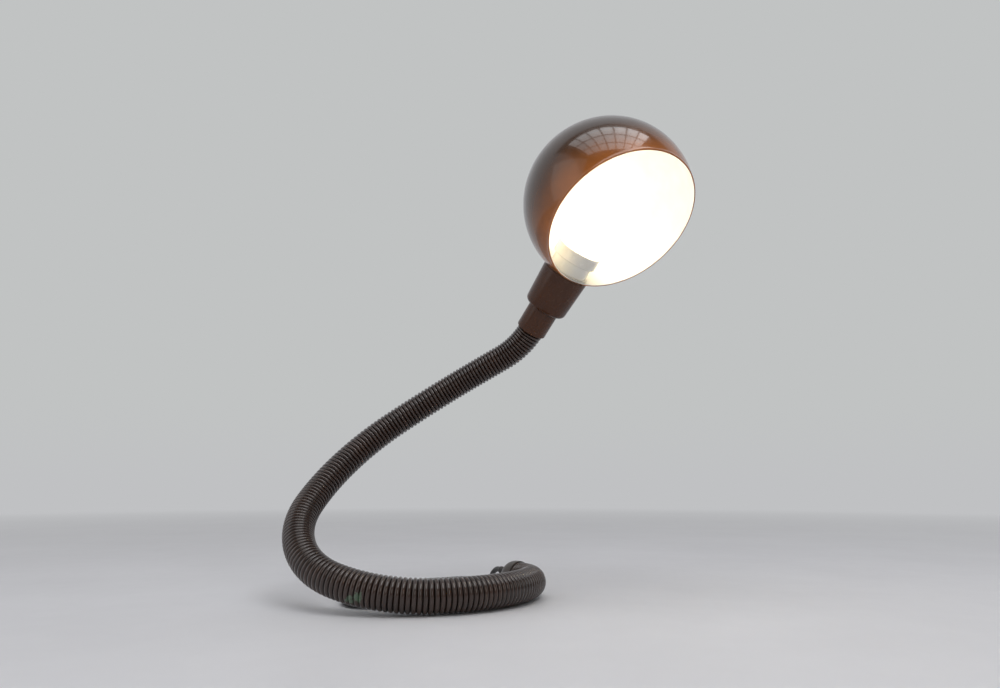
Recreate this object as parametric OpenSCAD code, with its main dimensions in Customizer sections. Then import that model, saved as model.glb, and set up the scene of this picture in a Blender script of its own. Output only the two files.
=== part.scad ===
// Gooseneck desk lamp: a ball shade on a ribbed flexible neck, whose lower end
// lies curled on the table as the foot, with its mains lead, switch and plug.
// Millimetres, +Z up. The origin is on the table, under the middle of the foot.

/* [Ribbed hose] */
// Outside diameter over the ribs
hose_d = 28; // [26:0.5:30]
// Bore of the hose
hose_bore_d = 21; // [20:0.5:22]
// Depth of the grooves between the ribs
rib_depth = 1.4; // [0.8:0.1:2]
// Distance from rib to rib along the middle of the hose
rib_pitch = 4.2; // [4:0.1:6]
// Depth of the flat on the underside of the foot
foot_flat = 0.5; // [0.3:0.1:0.8]
// Length of hose that bends at each bending place
flex_len = 40; // [34:1:44]

/* [Gooseneck core and supply lead] */
// Outside diameter of the wound steel core
core_d = 18.5; // [17:0.5:19]
// Bore of the core
core_bore_d = 9; // [8:0.5:11]
// Outside diameter of the mains lead, inside and outside the lamp
cord_d = 5; // [4.6:0.1:5.4]

/* [Bending places, along the hose from the middle of the foot] */
// Bend in the foot curl
curl_bend_s = -85; // [-90:1:-80]
// Place where the neck lifts off the table
lift_bend_s = 85; // [82:1:90]
// Place where the neck swings round
swing_bend_s = 175; // [170:1:180]
// Place where the neck leans
lean_bend_s = 260; // [256:1:264]
// Place where the neck twists aside
sway_bend_s = 345; // [341:1:349]
// Place where the head nods
nod_bend_s = 425; // [420:1:428]

/* [Curve of the foot] */
// Direction of the foot at its middle, from +X towards +Y
foot_heading = 12; // [8:1:16]
// Length of the front strand
strand_len = 118; // [112:1:122]
// Turn of the front strand
strand_turn = 64; // [58:1:68]
// Length of the tight end of the curl
curl_len = 38; // [34:1:42]
// Turn of the tight end of the curl
curl_turn = 54; // [48:1:58]

/* [Curve of the neck: length, bend and direction of each arc] */
// Length of the first arc, which lifts off the table
lift_len = 86; // [82:1:92]
// Bend of the first arc
lift_turn = 40; // [36:1:44]
// Direction of the first bend, 0 being level
lift_dir = -23; // [-28:1:-18]
// Length of the second arc, at the side
side_len = 112.9; // [106:0.1:118]
// Bend of the second arc
side_turn = 74.4; // [70:0.1:78]
// Direction of the second bend
side_dir = -41.9; // [-46:0.1:-38]
// Length of the third arc, at the back
back_len = 126.1; // [120:0.1:132]
// Bend of the third arc
back_turn = 48.8; // [45:0.1:53]
// Direction of the third bend
back_dir = -63.9; // [-68:0.1:-58]
// Length of the fourth arc, which reaches forwards
reach_len = 99.9; // [94:0.1:104]
// Bend of the fourth arc
reach_turn = 17.7; // [14:0.1:21]
// Direction of the fourth bend
reach_dir = -74.6; // [-80:0.1:-70]
// Length of the straight run below the last bend
straight_len = 31.9; // [28:0.1:36]
// Length of the last arc, under the head
top_len = 44; // [40:0.5:48]
// Bend of the last arc
top_turn = -34; // [-38:0.5:-30]
// Direction of the last bend
top_dir = 42.3; // [36:0.1:48]

/* [End cap and strain relief] */
// Outside diameter of the end cap
cap_d = 30; // [29.5:0.5:32]
// Length of the cap's straight rim
cap_rim = 5; // [3:0.5:8]
// Wall of the end cap
cap_wall = 2.4; // [2:0.2:3]
// Length of the cap's spigot in the hose
cap_spigot = 4; // [3:0.5:5]
// Length of the strain relief outside the cap
relief_len = 20; // [20:1:24]
// Diameter of the strain relief at the cap
relief_d = 10; // [9:0.5:11]
// Diameter of the strain relief at its tip
relief_tip_d = 7; // [6.5:0.1:8]

/* [Head] */
// Outside diameter of the smooth sleeve
sleeve_d = 32; // [31.5:0.5:34]
// Length of the sleeve
sleeve_len = 28; // [24:0.5:30]
// Diameter of the neck cup at its lower end
cup_low_d = 44.5; // [43.5:0.5:46]
// Diameter of the neck cup where it meets the shade
cup_top_d = 48.5; // [47:0.5:50]
// Wall of the cup
cup_wall = 2; // [1.6:0.1:2.4]
// Radius of the cup's lower edge
cup_round = 5; // [3:0.5:6]
// Distance from the end of the ribs to the middle of the shade
head_reach = 150.5; // [149:0.5:153]
// Outside diameter of the ball shade
shade_d = 164; // [160:1:166]
// Thickness of the shade's sheet
shade_wall = 1.2; // [0.8:0.1:1.6]
// Distance from the middle of the shade to its opening
open_reach = 31.4; // [30:0.2:34]
// Angle from the neck to the way the shade opens
open_angle = 98; // [96:1:100]
// Turn of the opening about the neck
open_turn = -38.3; // [-60:0.1:0]
// Diameter of the rolled rim
rim_bead_d = 1.8; // [1.4:0.1:1.9]

/* [Lampholder and bulb] */
// Diameter of the lampholder's collar inside the shade
holder_d = 46; // [44:0.5:46]
// Diameter of the lampholder below its collar
holder_waist_d = 40; // [39:0.5:42]
// Depth of the collar
holder_collar = 12.5; // [10:0.5:14]
// Diameter of the lampholder inside the cup
holder_foot_d = 37; // [36:0.5:38]
// Length of the lampholder inside the shade
holder_reach = 31; // [30:1:33]
// Diameter of the lampholder's mouth
holder_mouth_d = 34; // [32:0.5:35]
// Diameter of the nipple tube that holds the head together
nipple_d = 10; // [9.5:0.1:10.5]
// Diameter of the bulb
bulb_d = 45; // [43:0.5:46]
// Diameter of the bulb's screw cap over the threads
bulb_cap_d = 26.2; // [26:0.1:26.4]
// Pitch of the bulb's screw cap
thread_pitch = 3.6; // [3.4:0.1:3.8]

/* [Switch on the lead] */
// Length of the switch
switch_len = 58; // [56:1:60]
// Width of the switch
switch_w = 24; // [22:0.5:25]
// Height of the lower shell
switch_low_h = 7; // [6.5:0.1:7.5]
// Height of the upper shell
switch_top_h = 7; // [6.5:0.1:7.5]
// Wall of the switch shells
switch_wall = 1.6; // [1.2:0.1:2]
// Length of the rocker
rocker_len = 18; // [16:0.5:20]
// Width of the rocker
rocker_w = 10; // [8:0.5:11]
// Tilt of the rocker to each side
rocker_tilt = 10; // [8:1:11]
// Diameter of the rocker's pin
rocker_pin_d = 2.5; // [2:0.1:2.8]

/* [Plug] */
// Length of the plug's body
plug_len = 35; // [33:1:36]
// Width of the plug's body
plug_w = 35; // [32:0.5:35.5]
// Thickness of the plug's body
plug_h = 13.7; // [13:0.1:14]
// Diameter of a plug pin
plug_pin_d = 4; // [3.8:0.1:4.2]
// Length of a plug pin outside the body
plug_pin_len = 19; // [18:0.5:19.5]
// Distance between the plug pins
plug_pin_gap = 18.6; // [18:0.1:19]

/* [Hidden] */
$fn = 64;

// Clearances
joint_gap = 0.3;
slip = 0.1;
pin_slip = 0.05;
loose = 0.4;
overlap = 1;

// Numbers of sides and rings of the swept pieces
hose_sides = 8;
lead_sides = 6;
cord_sides = 8;
coil_sides = 6;
bore_ring_gap = 18;
inner_ring_gap = 10;
hull_fn = 32;

// A round section drawn with few sides keeps its mean radius
function faceted_r(d, n) = d / (1 + cos(180 / n));
crest_r = faceted_r(hose_d, hose_sides);
groove_r = crest_r - rib_depth;
bore_r = faceted_r(hose_bore_d, hose_sides);
core_r = faceted_r(core_d, hose_sides);
core_bore_r = faceted_r(core_bore_d, hose_sides);
foot_z = crest_r - foot_flat;
flex_half = flex_len / 2;

// ---------- the run of the hose: frames are [place, tangent, side, rise] ----------
tail_arcs = [[strand_len, strand_turn, 0], [curl_len, curl_turn, 0]];
neck_arcs = [[lift_len, lift_turn, lift_dir], [side_len, side_turn, side_dir],
    [back_len, back_turn, back_dir], [reach_len, reach_turn, reach_dir], [straight_len, 0, 0],
    [top_len, top_turn, top_dir]];
neck_len = lift_len + side_len + back_len + reach_len + straight_len + top_len;
tail_s = -(strand_len + curl_len);
neck_start = [[0, 0, foot_z], [-cos(foot_heading), -sin(foot_heading), 0],
    [-sin(foot_heading), cos(foot_heading), 0], [0, 0, -1]];

function spun(v, axis, a) = v * cos(a) + cross(axis, v) * sin(a) + axis * (axis * v) * (1 - cos(a));

function moved(f, len, turn, dir) =
    let (axis = cross(f[1], f[2] * cos(dir) + f[3] * sin(dir)),
         half = turn / 2,
         chord = abs(turn) < 0.01 ? len : len * sin(half) / (half * PI / 180))
    [f[0] + spun(f[1], axis, half) * chord, spun(f[1], axis, turn), spun(f[2], axis, turn), spun(f[3], axis, turn)];

function walk(f, arcs, s, i = 0) =
    i == len(arcs) ? moved(f, s, 0, 0)
    : s <= arcs[i][0] ? moved(f, s, arcs[i][1] * s / arcs[i][0], arcs[i][2])
    : walk(moved(f, arcs[i][0], arcs[i][1], arcs[i][2]), arcs, s - arcs[i][0], i + 1);

function reversed(f) = [f[0], -f[1], f[2], -f[3]];
function hose_frame(s) = s >= 0 ? walk(neck_start, neck_arcs, s)
    : reversed(walk(reversed(neck_start), tail_arcs, -s));

module at_frame(f, side, rise) {
    multmatrix([[side.x, rise.x, f[1].x, f[0].x], [side.y, rise.y, f[1].y, f[0].y],
                [side.z, rise.z, f[1].z, f[0].z], [0, 0, 0, 1]]) children();
}

// ---------- swept tubes ----------
function ring(f, r, n, start = 0) =
    [for (k = [0:n - 1]) let (a = start + 360 * k / n) f[0] + r * (cos(a) * f[2] + sin(a) * f[3])];
function flat_list(rings) = [for (r = rings) for (p = r) p];

// Faces between neighbouring rings, outwards or, turned round, inwards
function wall_faces(rings, n, first, outwards) =
    [for (i = [0:rings - 2], k = [0:n - 1])
        let (a = first + i * n + k, b = first + i * n + (k + 1) % n, c = b + n, d = a + n)
        each outwards ? [[a, d, c], [a, c, b]] : [[a, b, c], [a, c, d]]];
function lid_faces(n, first, at_start) =
    [for (k = [1:n - 2]) at_start ? [first, first + k, first + k + 1] : [first, first + k + 1, first + k]];
function rim_faces(n, outer, inner, at_start) =
    [for (k = [0:n - 1])
        let (o = outer + k, p = outer + (k + 1) % n, i = inner + k, j = inner + (k + 1) % n)
        each at_start ? [[o, p, j], [o, j, i]] : [[o, j, p], [o, i, j]]];

module solid_tube(rings, n) {
    last = (len(rings) - 1) * n;
    polyhedron(flat_list(rings),
        concat(wall_faces(len(rings), n, 0, true), lid_faces(n, 0, true), lid_faces(n, last, false)));
}

module bored_tube(outer, inner, n) {
    bore = len(outer) * n;
    polyhedron(concat(flat_list(outer), flat_list(inner)),
        concat(wall_faces(len(outer), n, 0, true), wall_faces(len(inner), n, bore, false),
            rim_faces(n, 0, bore, true),
            rim_faces(n, bore - n, bore + (len(inner) - 1) * n, false)));
}

// Places along a stretch, about one for each gap, both ends among them
function steps(s0, s1, gap) = let (n = max(1, round((s1 - s0) / gap))) [for (i = [0:n]) s0 + (s1 - s0) * i / n];

// An odd number of ribs puts one rib at the middle of the stretch
function rib_count(len) = 2 * max(1, round((len / rib_pitch - 1) / 2)) + 1;

module ribbed_hose(s0, s1) {
    ribs = rib_count(s1 - s0);
    outer = [for (i = [0:2 * ribs])
        ring(hose_frame(s0 + (s1 - s0) * i / (2 * ribs)), i % 2 == 1 ? crest_r : groove_r, hose_sides)];
    inner = [for (s = steps(s0, s1, bore_ring_gap)) ring(hose_frame(s), bore_r, hose_sides)];
    color([0.13, 0.1, 0.085]) bored_tube(outer, inner, hose_sides);
}

// The foot's hose is cut flat where it lies on the table
module cut_at_table() {
    difference() {
        children();
        translate([-250, -250, -20]) cube([500, 500, 20]);
    }
}

module steel_core(s0, s1) {
    places = steps(s0, s1, inner_ring_gap);
    color([0.55, 0.56, 0.58]) bored_tube([for (s = places) ring(hose_frame(s), core_r, hose_sides)],
        [for (s = places) ring(hose_frame(s), core_bore_r, hose_sides)], hose_sides);
}

module inner_lead(s0, s1) {
    color([0.16, 0.13, 0.11])
        solid_tube([for (s = steps(s0, s1, inner_ring_gap)) ring(hose_frame(s), cord_d / 2, lead_sides)], lead_sides);
}

// ---------- hose, core and lead, cut at the bending places ----------
bends = [curl_bend_s, lift_bend_s, swing_bend_s, lean_bend_s, sway_bend_s, nod_bend_s];
hose_in_sleeve = 14;
// The ends of the stiff stretch after bending place i, with -1 for the tail
function stiff_from(i) = i < 0 ? tail_s : bends[i] + flex_half;
function stiff_to(i) = i == len(bends) - 1 ? neck_len + hose_in_sleeve : bends[i + 1] - flex_half;

module stiff_hose(i) { ribbed_hose(stiff_from(i), stiff_to(i)); }
module flex_hose(i) { ribbed_hose(bends[i] - flex_half, bends[i] + flex_half - joint_gap); }

// The core starts clear of the cap's spigot, whose end the curl turns towards it
core_start = 3;
core_tail_s = tail_s + cap_spigot + core_start;
core_top_s = neck_len + hose_in_sleeve - overlap;
function inner_from(i, tail) = i < 0 ? tail : bends[i] + joint_gap / 2;
function inner_to(i, top) = i == len(bends) - 1 ? top : bends[i + 1] - joint_gap / 2;
module core_part(i) { steel_core(inner_from(i, core_tail_s), inner_to(i, core_top_s)); }
module lead_part(i) { inner_lead(inner_from(i, 0), inner_to(i, neck_len + terminal_z - 2 * overlap)); }

module hose_tail() { cut_at_table() stiff_hose(-1); }
module hose_foot() { cut_at_table() stiff_hose(0); }
module hose_riser() { stiff_hose(1); }
module hose_lower() { stiff_hose(2); }
module hose_middle() { stiff_hose(3); }
module hose_upper() { stiff_hose(4); }
module hose_top() { stiff_hose(5); }
module flex_tail() { cut_at_table() flex_hose(0); }
module flex_riser() { flex_hose(1); }
module flex_lower() { flex_hose(2); }
module flex_middle() { flex_hose(3); }
module flex_upper() { flex_hose(4); }
module flex_top() { flex_hose(5); }
module core_tail() { core_part(-1); }
module core_foot() { core_part(0); }
module core_riser() { core_part(1); }
module core_lower() { core_part(2); }
module core_middle() { core_part(3); }
module core_upper() { core_part(4); }
module core_top() { core_part(5); }
module lead_foot() { lead_part(0); }
module lead_riser() { lead_part(1); }
module lead_lower() { lead_part(2); }
module lead_middle() { lead_part(3); }
module lead_upper() { lead_part(4); }
module lead_top() { lead_part(5); }

// ---------- end cap and strain relief ----------
tail_end = hose_frame(tail_s);
cap_axis = -tail_end[1];
dome_r = cap_d / 2;
dome_centre = tail_end[0] + cap_rim * cap_axis;
relief_heading = 115;
relief_rise = 5;
relief_axis = [cos(relief_rise) * cos(relief_heading), cos(relief_rise) * sin(relief_heading), sin(relief_rise)];
relief_shank_d = 8;
relief_flange_d = 11;
relief_flange = 1.6;
relief_end = dome_r + relief_len;
cord_exit = dome_centre + relief_end * relief_axis;

// Places children with +Z along the cap's own axis, from the end face of the hose
module at_cap() { at_frame([tail_end[0], cap_axis], [0, 0, 1], cross(cap_axis, [0, 0, 1])) children(); }

// Places children with +Z along the strain relief, from the centre of the cap's dome
module at_relief() {
    side = [-sin(relief_heading), cos(relief_heading), 0];
    at_frame([dome_centre, relief_axis], side, cross(relief_axis, side)) children();
}

module end_cap() {
    hollow_r = dome_r - cap_wall;
    spigot_r = bore_r * cos(180 / hose_sides) - 2 * loose;
    color([0.2, 0.17, 0.15]) cut_at_table() difference() {
        at_cap() difference() {
            union() {
                translate([0, 0, slip]) cylinder(r = dome_r, h = cap_rim - slip);
                translate([0, 0, cap_rim]) intersection() {
                    sphere(r = dome_r);
                    cylinder(r = dome_r + overlap, h = dome_r + overlap);
                }
                translate([0, 0, -cap_spigot]) cylinder(r = spigot_r, h = cap_spigot + cap_wall);
            }
            translate([0, 0, cap_wall]) cylinder(r = hollow_r, h = cap_rim - cap_wall);
            translate([0, 0, cap_rim]) intersection() {
                sphere(r = hollow_r);
                cylinder(r = dome_r, h = dome_r);
            }
            translate([0, 0, -cap_spigot - overlap])
                cylinder(r = spigot_r - cap_wall, h = cap_spigot + cap_wall + 2 * overlap);
        }
        at_relief() cylinder(d = relief_shank_d + 2 * slip, h = dome_r + overlap);
    }
}

module strain_relief() {
    inside = dome_r - cap_wall;
    color([0.12, 0.1, 0.09]) at_relief() difference() {
        union() {
            translate([0, 0, inside - relief_flange - 1.6]) cylinder(d = relief_flange_d, h = relief_flange);
            translate([0, 0, inside - relief_flange - overlap])
                cylinder(d = relief_shank_d, h = cap_wall + relief_flange + 2 * overlap);
            translate([0, 0, dome_r + 0.3])
                cylinder(d1 = relief_d, d2 = relief_tip_d, h = relief_len - 0.3);
        }
        cylinder(d = cord_d + 2 * slip, h = relief_end + overlap);
    }
}

// The lead runs from the curl through the cap and out of the strain relief
module lead_tail() {
    hose_places = [for (s = steps(tail_s, bends[0] - joint_gap / 2, inner_ring_gap)) hose_frame(s)];
    turn_axis = -(cap_axis + relief_axis) / norm(cap_axis + relief_axis);
    turn_rise = cross(turn_axis, tail_end[2]) / norm(cross(turn_axis, tail_end[2]));
    relief_side = cross(tail_end[3], -relief_axis) / norm(cross(tail_end[3], -relief_axis));
    turn = [dome_centre, turn_axis, cross(turn_rise, turn_axis), turn_rise];
    out = [cord_exit, -relief_axis, relief_side, cross(-relief_axis, relief_side)];
    color([0.16, 0.13, 0.11])
        solid_tube([for (f = concat([out, turn], hose_places)) ring(f, cord_d / 2, lead_sides)], lead_sides);
}

// ---------- head ----------
head = hose_frame(neck_len);
head_side = cos(open_turn) * head[2] + sin(open_turn) * head[3];
// Places children with +Z along the neck from the end of the ribs, +X to the side the shade opens
module at_head() { at_frame(head, head_side, cross(head[1], head_side)) children(); }

shade_r = shade_d / 2;
shade_in_r = shade_r - shade_wall;
module at_shade() { translate([0, 0, head_reach]) rotate([0, open_angle, 0]) children(); }

ferrule_z = hose_in_sleeve + joint_gap;
ferrule_h = 7;
sleeve_top = 3;
sleeve_in_d = 2 * crest_r + 2 * slip;
cup_floor = 3;
nut_h = 5;
nut_d = 18;
nipple_wall = 1.6;
nipple_from = ferrule_z + ferrule_h - 4;
holder_z = sleeve_len + cup_floor + nut_h + 4;
holder_base = 6;
nipple_to = holder_z + holder_base;
shoulder_z = head_reach - shade_r + 6;
holder_top = head_reach - shade_r + holder_reach;
shell_r = bulb_cap_d / 2 + 0.2;
shell_wall = 0.6;
terminal_rise = 8;
terminal_z = nipple_to + terminal_rise;
contact_depth = 30;
contact_z = holder_top - contact_depth;

module neck_ferrule() {
    color("silver") at_head() difference() {
        union() {
            translate([0, 0, ferrule_z]) cylinder(d = sleeve_in_d - 2 * slip, h = ferrule_h);
            translate([0, 0, 4]) cylinder(r = core_bore_r * cos(180 / hose_sides) - slip, h = ferrule_z);
        }
        translate([0, 0, 4 - overlap]) cylinder(d = cord_d + 4 * slip, h = ferrule_z + ferrule_h);
        translate([0, 0, nipple_from]) cylinder(d = nipple_d + 2 * pin_slip, h = ferrule_h);
    }
}

module neck_sleeve() {
    color([0.13, 0.1, 0.09]) at_head() difference() {
        cylinder(d = sleeve_d, h = sleeve_len);
        translate([0, 0, -overlap]) cylinder(d = sleeve_in_d, h = sleeve_len - sleeve_top + overlap);
        cylinder(d = nipple_d + 2 * loose, h = sleeve_len + overlap);
    }
}

module nipple_tube() {
    color([0.75, 0.68, 0.45]) at_head() translate([0, 0, nipple_from]) difference() {
        cylinder(d = nipple_d, h = nipple_to - nipple_from);
        translate([0, 0, -overlap])
            cylinder(d = nipple_d - 2 * nipple_wall, h = nipple_to - nipple_from + 2 * overlap);
    }
}

// Outline of the cup in section, drawn in by a wall thickness
module cup_profile(inset, from) {
    low_r = cup_low_d / 2;
    top_r = cup_top_d / 2;
    round_r = cup_round - inset;
    top_z = head_reach - shade_r / 2;
    difference() {
        union() {
            polygon([[0, from + cup_round - inset], [low_r - inset, from + cup_round - inset],
                [top_r - inset, top_z], [0, top_z]]);
            translate([low_r - cup_round, from + cup_round - inset]) circle(r = round_r);
            translate([0, from]) square([low_r - cup_round, cup_round]);
        }
        translate([-cup_low_d, 0]) square([cup_low_d, top_z + overlap]);
    }
}

module neck_cup() {
    color([0.15, 0.1, 0.08]) at_head() difference() {
        rotate_extrude() cup_profile(0, sleeve_len);
        rotate_extrude() cup_profile(cup_wall, sleeve_len + cup_floor);
        cylinder(d = nipple_d + 2 * loose, h = sleeve_len + cup_floor + overlap);
        translate([0, 0, head_reach]) sphere(r = shade_r + loose);
    }
}

module lock_nut() {
    color("silver") at_head() translate([0, 0, sleeve_len + cup_floor + slip]) difference() {
        cylinder(d = nut_d, h = nut_h, $fn = 6);
        translate([0, 0, -overlap]) cylinder(d = nipple_d + 2 * pin_slip, h = nut_h + 2 * overlap);
    }
}

module shade() {
    open_r = sqrt(pow(shade_r - shade_wall / 2, 2) - pow(open_reach, 2));
    color([0.2, 0.11, 0.07]) at_head() difference() {
        at_shade() union() {
            difference() {
                sphere(r = shade_r);
                sphere(r = shade_in_r);
                translate([0, 0, open_reach]) cylinder(r = shade_r + overlap, h = shade_r + overlap);
            }
            translate([0, 0, open_reach]) rotate_extrude() translate([open_r, 0]) circle(d = rim_bead_d);
        }
        translate([0, 0, head_reach - shade_r - overlap])
            cylinder(d = holder_foot_d + 2 * loose, h = shade_r / 2);
    }
}

// Ring between the round inside of the shade and the lampholder's shoulder
module shade_seat() {
    color([0.85, 0.84, 0.8]) at_head() difference() {
        intersection() {
            translate([0, 0, head_reach - shade_r]) cylinder(d = holder_d - 1, h = shoulder_z - head_reach + shade_r);
            translate([0, 0, head_reach]) sphere(r = shade_in_r - loose);
        }
        translate([0, 0, head_reach - shade_r - overlap])
            cylinder(d = holder_foot_d + 2 * loose, h = shade_r / 2);
    }
}

module lampholder() {
    mouth_r = holder_mouth_d / 2;
    color([0.93, 0.92, 0.88]) at_head() difference() {
        union() {
            translate([0, 0, holder_z]) cylinder(d = holder_foot_d, h = shoulder_z - holder_z + overlap);
            translate([0, 0, shoulder_z + slip]) cylinder(d = holder_waist_d, h = holder_top - shoulder_z - slip);
            translate([0, 0, holder_top - holder_collar]) cylinder(d = holder_d, h = holder_collar);
        }
        translate([0, 0, holder_z - overlap]) cylinder(d = nipple_d + 2 * pin_slip, h = holder_base + 2 * overlap);
        translate([0, 0, holder_z + holder_base]) cylinder(r = shell_r + shell_wall + slip, h = holder_top - holder_z);
        translate([0, 0, holder_top - 3]) cylinder(r1 = shell_r + shell_wall + slip, r2 = mouth_r, h = 3 + slip);
    }
}

module screw_shell() {
    ridge_d = 1.2;
    color([0.8, 0.63, 0.3]) at_head() {
        difference() {
            translate([0, 0, contact_z + 3]) cylinder(r = shell_r + shell_wall, h = holder_top - 4 - contact_z - 3);
            translate([0, 0, contact_z + 3 - overlap]) cylinder(r = shell_r, h = holder_reach);
        }
        translate([0, 0, contact_z + 1.8]) difference() {
            cylinder(r = shell_r + shell_wall, h = ridge_d + slip);
            translate([0, 0, -overlap]) cylinder(r = shell_r - 2, h = ridge_d + 3 * overlap);
        }
    }
}

module centre_contact() {
    tongue_w = 5;
    color([0.8, 0.63, 0.3]) at_head() {
        translate([0, 0, contact_z - 1]) cylinder(d = 7, h = 0.8);
        translate([0, -tongue_w / 2, contact_z - 1]) cube([9, tongue_w, 0.8]);
        translate([8.2, -tongue_w / 2, nipple_to]) cube([0.8, tongue_w, contact_z - 0.4 - nipple_to]);
    }
}

module terminal_screws() {
    color("gold") at_head() for (side = [-1, 1]) translate([-3, side * 6, nipple_to]) {
        cylinder(d = 3, h = terminal_z - nipple_to + 1);
        translate([0, 0, terminal_z - nipple_to]) cylinder(d = 5, h = 2);
    }
}

// ---------- bulb ----------
bulb_tip_z = contact_z - 0.2 + 76;
globe_z = bulb_tip_z - bulb_d / 2;
glass_from = contact_z + 27;
cap_from = contact_z + 3.2;
glass_wall = 0.8;
neck_r = 11.6;
glass_in_cap = 6;

module bulb_shape(inset) {
    translate([0, 0, globe_z]) sphere(r = bulb_d / 2 - inset);
    translate([0, 0, glass_from - glass_in_cap + inset]) cylinder(r = neck_r - inset, h = glass_in_cap + overlap);
    translate([0, 0, glass_from + inset])
        cylinder(r1 = neck_r - inset, r2 = bulb_d / 2 * 0.86 - inset, h = globe_z - bulb_d / 2 * 0.5 - glass_from - inset);
}

module bulb_glass() {
    color([1, 0.97, 0.88]) at_head() difference() {
        bulb_shape(0);
        bulb_shape(glass_wall);
    }
}

module bulb_cap() {
    thread_r = bulb_cap_d / 2;
    bead_r = 0.65;
    core = thread_r - bead_r;
    color([0.75, 0.75, 0.74]) at_head() difference() {
        union() {
            translate([0, 0, cap_from]) cylinder(r = core, h = glass_from - cap_from - slip);
            for (i = [0:3]) translate([0, 0, cap_from + 3 + i * thread_pitch])
                rotate_extrude() translate([core, 0]) circle(r = bead_r, $fn = 24);
        }
        translate([0, 0, cap_from + 1]) cylinder(r = core - 0.5, h = glass_from - cap_from);
    }
}

module bulb_insulator() {
    color([0.08, 0.08, 0.09]) at_head()
        translate([0, 0, contact_z + 0.9]) cylinder(r1 = 5, r2 = 10.5, h = 2.2);
}

module bulb_contact() {
    color([0.7, 0.7, 0.68]) at_head() translate([0, 0, contact_z - slip]) cylinder(d = 8, h = 0.9);
}

stem_from = glass_from - glass_in_cap + glass_wall;
stem_top = glass_from + 16;
module bulb_stem() {
    color([0.85, 0.9, 0.9]) at_head() {
        translate([0, 0, stem_from]) cylinder(r1 = 7, r2 = 3, h = 8);
        translate([0, 0, stem_from]) cylinder(r = 2.2, h = stem_top - stem_from);
    }
}

module bulb_filament() {
    wire = 0.6;
    support = 0.4;
    loop_r = 8;
    loop_rise = 8;
    color([0.9, 0.8, 0.6]) at_head() translate([0, 0, stem_top + loop_rise]) {
        rotate([0, 0, 30]) rotate_extrude(angle = 300) translate([loop_r, 0]) circle(d = wire, $fn = 16);
        for (a = [60, 180, 300]) rotate([0, 0, a]) translate([loop_r, 0, 0])
            rotate([0, atan((loop_r - 1) / loop_rise) - 180, 0])
                cylinder(d = support, h = norm([loop_r - 1, loop_rise]), $fn = 16);
    }
}

// ---------- the mains lead outside the lamp ----------
switch_place = [-82, 96];
switch_turn = 90;
split_z = switch_low_h;
plug_place = [37, 112];
plug_z = plug_h / 2;
plug_relief = 20;
pin_root_len = 12;
pin_root_d = plug_pin_d - 0.6;
plug_tail = plug_place.y - plug_len - plug_relief;

coil_centre = [-25.5, 66];
coil_pitch = 5.5;
coil_turns = 7;
coil_in_r = 20;
coil_start = 275;
coil_steps = 24;
coil_out_r = coil_in_r + coil_pitch * coil_turns / 2;
coil_z = cord_d / 2;
climb = 0.25;

// The coil spirals in over half its turns, climbs a layer where it reverses, and spirals out again
function coil_r(t) = coil_in_r + coil_pitch * abs(t - coil_turns / 2);
function coil_rise(t) = let (x = min(1, max(0, (t - coil_turns / 2) / (2 * climb) + 0.5)))
    coil_z + coil_pitch * x * x * (3 - 2 * x);
function coil_out(t) = [cos(coil_start + 360 * t), sin(coil_start + 360 * t), 0];
function coil_way(t) = [-sin(coil_start + 360 * t), cos(coil_start + 360 * t), 0];
function coil_point(t) = [coil_centre.x, coil_centre.y, coil_rise(t)] + coil_r(t) * coil_out(t);
function coil_frame(t, place) = [place, coil_way(t), [0, 0, 1], coil_out(t)];
coil_entry = coil_point(0) - cord_d * coil_way(0);
coil_exit = coil_point(coil_turns) + cord_d * coil_way(coil_turns);

// Points of the free stretches, chosen by hand
to_switch = [[51.4, 155.8, 17.1], [49.1, 161.6, 15.6], [46.5, 168.2, 12.3], [44.3, 176.3, 7.2],
    [41.6, 183.7, 4.1], [37.5, 190.1, 2.8], [31.9, 194.9, 2.5], [24.9, 197.7, 2.5], [17.1, 198.1, 2.5],
    [8, 195.8, 2.5], [-1.7, 190.6, 2.5], [-14, 184.6, 2.5], [-27, 177.6, 2.5], [-40, 170.4, 2.5],
    [-52.3, 163.3, 2.5], [-59.5, 157.2, 2.5], [-63.7, 154.2, 2.7], [-72.4, 148.6, 3.5], [-77.9, 142.1, 4.8],
    [-81.1, 133.3, 6.3]];
to_coil = [[-82, 59, 6.5], [-81.8, 51, 5.1], [-80, 43.5, 3.6], [-76, 36.8, 2.7], [-70, 31.5, 2.5],
    [-62.5, 27.8, 2.5], [-53, 25.4, 2.5], [-42, 24.8, 2.5]];
to_plug = [[-6.5, 28.7, 7.2], [3, 29.8, 5.2], [12, 32, 4], [20.5, 35.5, 4], [28, 41, 5], [33.5, 47.5, 6.3],
    [36.5, 54, 6.85]];

switch_back = [switch_place.x, switch_place.y + switch_len / 2, split_z];
switch_front = [switch_place.x, switch_place.y - switch_len / 2, split_z];
route_to_switch = concat([cord_exit], to_switch, [switch_back]);
route_to_coil = concat([switch_front], to_coil, [coil_entry]);
route_to_plug = concat([coil_exit], to_plug, [[plug_place.x, plug_tail, plug_z]]);

function unit(v) = v / norm(v);
function squared(v, t) = unit(v - t * (v * t));
function bisector(p, i) = unit(unit(p[i + 1] - p[i]) + unit(p[i] - p[i - 1]));
// Frames along a route, with its first and last ring square to what they meet
function route_frames(p, first, last) =
    let (t = [for (i = [0:len(p) - 1]) i == 0 ? first : i == len(p) - 1 ? last : bisector(p, i)])
    [for (i = 0, u = squared([0, 0, 1], t[0]); i < len(p); u = squared(u, t[min(i + 1, len(p) - 1)]), i = i + 1)
        [p[i], t[i], u, cross(t[i], u)]];

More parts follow.
